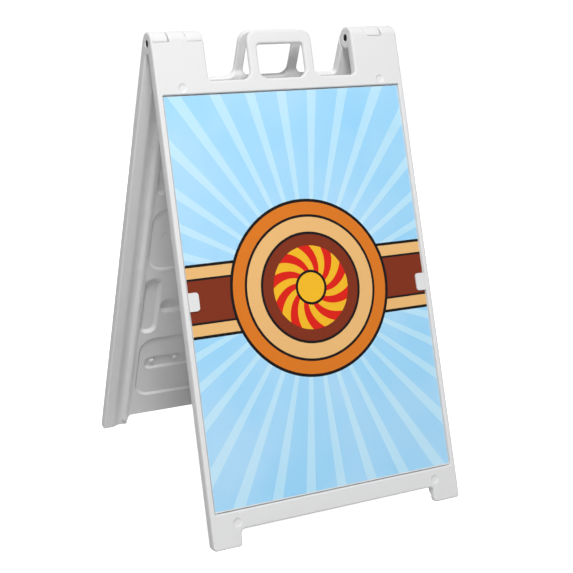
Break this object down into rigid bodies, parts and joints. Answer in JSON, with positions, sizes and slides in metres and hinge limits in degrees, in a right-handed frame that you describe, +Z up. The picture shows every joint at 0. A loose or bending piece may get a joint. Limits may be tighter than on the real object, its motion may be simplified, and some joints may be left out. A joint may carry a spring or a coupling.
{
  "type": "folding a-frame sign",
  "caption": "Folding A-frame pavement sign: hollow moulded panels on a top hinge, with carry handles and a printed board clipped into the recess of each panel.",
  "frame": {"origin": "centre of the ground area under the open sign, on the ground", "axes": "+Z up, +X along the hinge axis to the right as seen from the front, -Y towards the viewer of the front board"},
  "size_m": [0.64, 0.7454, 1.0831],
  "materials": {
    "panel_plastic": "white blow-moulded polyethylene with a fine satin grain",
    "printed_board": "corrugated plastic board with a smooth printed face",
    "clip_plastic": "white moulded plastic, slightly smoother than the panel",
    "pin_steel": "zinc plated round bar",
    "cap_steel": "dark spring steel push-on cap"
  },
  "bodies": {
    "front_frame": {"front_panel": "panel_plastic", "left_hinge_pin": "pin_steel", "right_hinge_pin": "pin_steel", "left_pin_cap": "cap_steel", "right_pin_cap": "cap_steel"},
    "rear_frame": {"rear_panel": "panel_plastic"},
    "front_insert": {"front_board": "printed_board"},
    "rear_insert": {"rear_board": "printed_board"},
    "front_left_snap": {"front_left_clip": "clip_plastic"},
    "front_right_snap": {"front_right_clip": "clip_plastic"},
    "rear_left_snap": {"rear_left_clip": "clip_plastic"},
    "rear_right_snap": {"rear_right_clip": "clip_plastic"}
  },
  "joints": [
    {"name": "fold", "type": "hinge", "parent": "front_frame", "child": "rear_frame", "pos_m": [0, 0, 1.05653], "axis": [-1, 0, 0], "range_deg": [0, 36]},
    {"name": "front_board_lift", "type": "slide", "parent": "front_frame", "child": "front_insert", "axis": [0, -0.9511, 0.309], "range_m": [0, 0.06]},
    {"name": "front_left_clip_pull", "type": "slide", "parent": "front_frame", "child": "front_left_snap", "axis": [0, -0.9511, 0.309], "range_m": [0, 0.09]},
    {"name": "front_right_clip_pull", "type": "slide", "parent": "front_frame", "child": "front_right_snap", "axis": [0, -0.9511, 0.309], "range_m": [0, 0.09]},
    {"name": "rear_board_lift", "type": "slide", "parent": "rear_frame", "child": "rear_insert", "axis": [0, 0.9511, 0.309], "range_m": [0, 0.06]},
    {"name": "rear_left_clip_pull", "type": "slide", "parent": "rear_frame", "child": "rear_left_snap", "axis": [0, 0.9511, 0.309], "range_m": [0, 0.09]},
    {"name": "rear_right_clip_pull", "type": "slide", "parent": "rear_frame", "child": "rear_right_snap", "axis": [0, 0.9511, 0.309], "range_m": [0, 0.09]}
  ],
  "couplings": [
    {"joint": "front_left_clip_pull", "follows": "front_board_lift", "ratio": 1.5},
    {"joint": "front_right_clip_pull", "follows": "front_board_lift", "ratio": 1.5},
    {"joint": "rear_left_clip_pull", "follows": "rear_board_lift", "ratio": 1.5},
    {"joint": "rear_right_clip_pull", "follows": "rear_board_lift", "ratio": 1.5}
  ]
}
